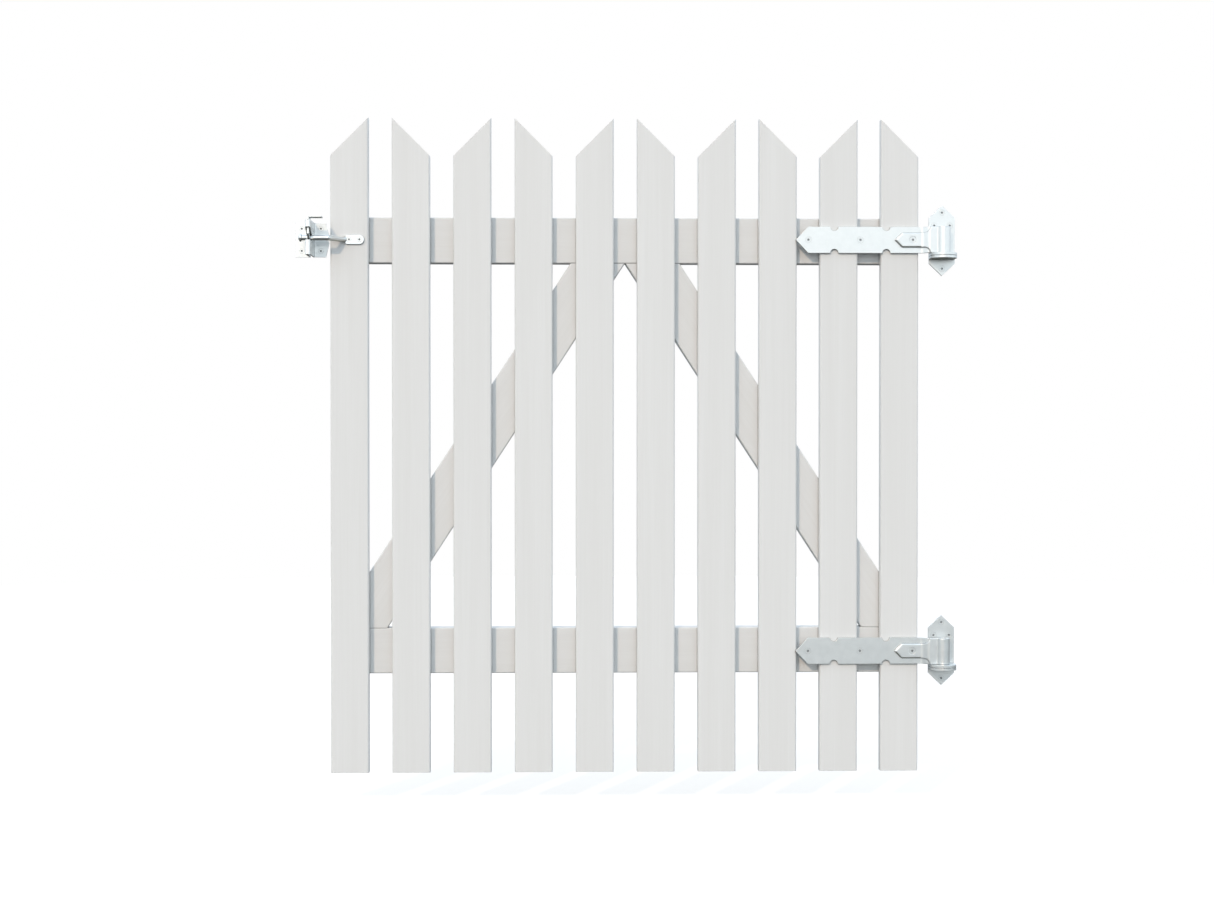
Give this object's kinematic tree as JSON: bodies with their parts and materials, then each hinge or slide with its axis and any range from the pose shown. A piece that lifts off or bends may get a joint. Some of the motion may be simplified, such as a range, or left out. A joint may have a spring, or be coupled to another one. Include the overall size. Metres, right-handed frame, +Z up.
{
  "type": "garden gate",
  "caption": "White picket garden gate leaf with an inverted V brace, strap hinges on post plates and a gravity latch with a pivoting pawl.",
  "frame": {"origin": "middle of the overall footprint, at the pickets' bottom ends", "axes": "+X from the latch post to the hinge post, +Y away from the side the gate opens to, +Z up"},
  "size_m": [1.01, 0.096, 1],
  "materials": {
    "painted_wood": "opaque white paint over wood with faint grain, satin",
    "galvanised_steel": "zinc plated, satin",
    "screw_steel": "zinc plated, satin"
  },
  "bodies": {
    "post_fittings": {"upper_post_plate": "galvanised_steel", "lower_post_plate": "galvanised_steel", "upper_hinge_pin": "screw_steel", "lower_hinge_pin": "screw_steel", "upper_plate_screws": "screw_steel", "lower_plate_screws": "screw_steel", "latch_bracket": "galvanised_steel", "bracket_screws": "screw_steel", "pawl_rivet": "screw_steel"},
    "leaf": {"picket_1": "painted_wood", "picket_2": "painted_wood", "picket_3": "painted_wood", "picket_4": "painted_wood", "picket_5": "painted_wood", "picket_6": "painted_wood", "picket_7": "painted_wood", "picket_8": "painted_wood", "picket_9": "painted_wood", "picket_10": "painted_wood", "upper_rail": "painted_wood", "lower_rail": "painted_wood", "left_brace": "painted_wood", "right_brace": "painted_wood", "upper_rail_screws": "screw_steel", "lower_rail_screws": "screw_steel", "brace_screws": "screw_steel", "upper_hinge_strap": "galvanised_steel", "lower_hinge_strap": "galvanised_steel", "upper_strap_screws": "screw_steel", "lower_strap_screws": "screw_steel", "striker_bar": "galvanised_steel", "striker_screws": "screw_steel"},
    "pawl": {"latch_pawl": "galvanised_steel"}
  },
  "joints": [
    {"name": "gate_swing", "type": "hinge", "parent": "post_fittings", "child": "leaf", "pos_m": [0.485, -0.009, 0.5], "axis": [0, 0, 1], "range_deg": [0, 170]},
    {"name": "pawl_lift", "type": "hinge", "parent": "post_fittings", "child": "pawl", "pos_m": [-0.4803, -0.008, 0.828], "axis": [-1, 0, 0], "range_deg": [0, 35]}
  ]
}
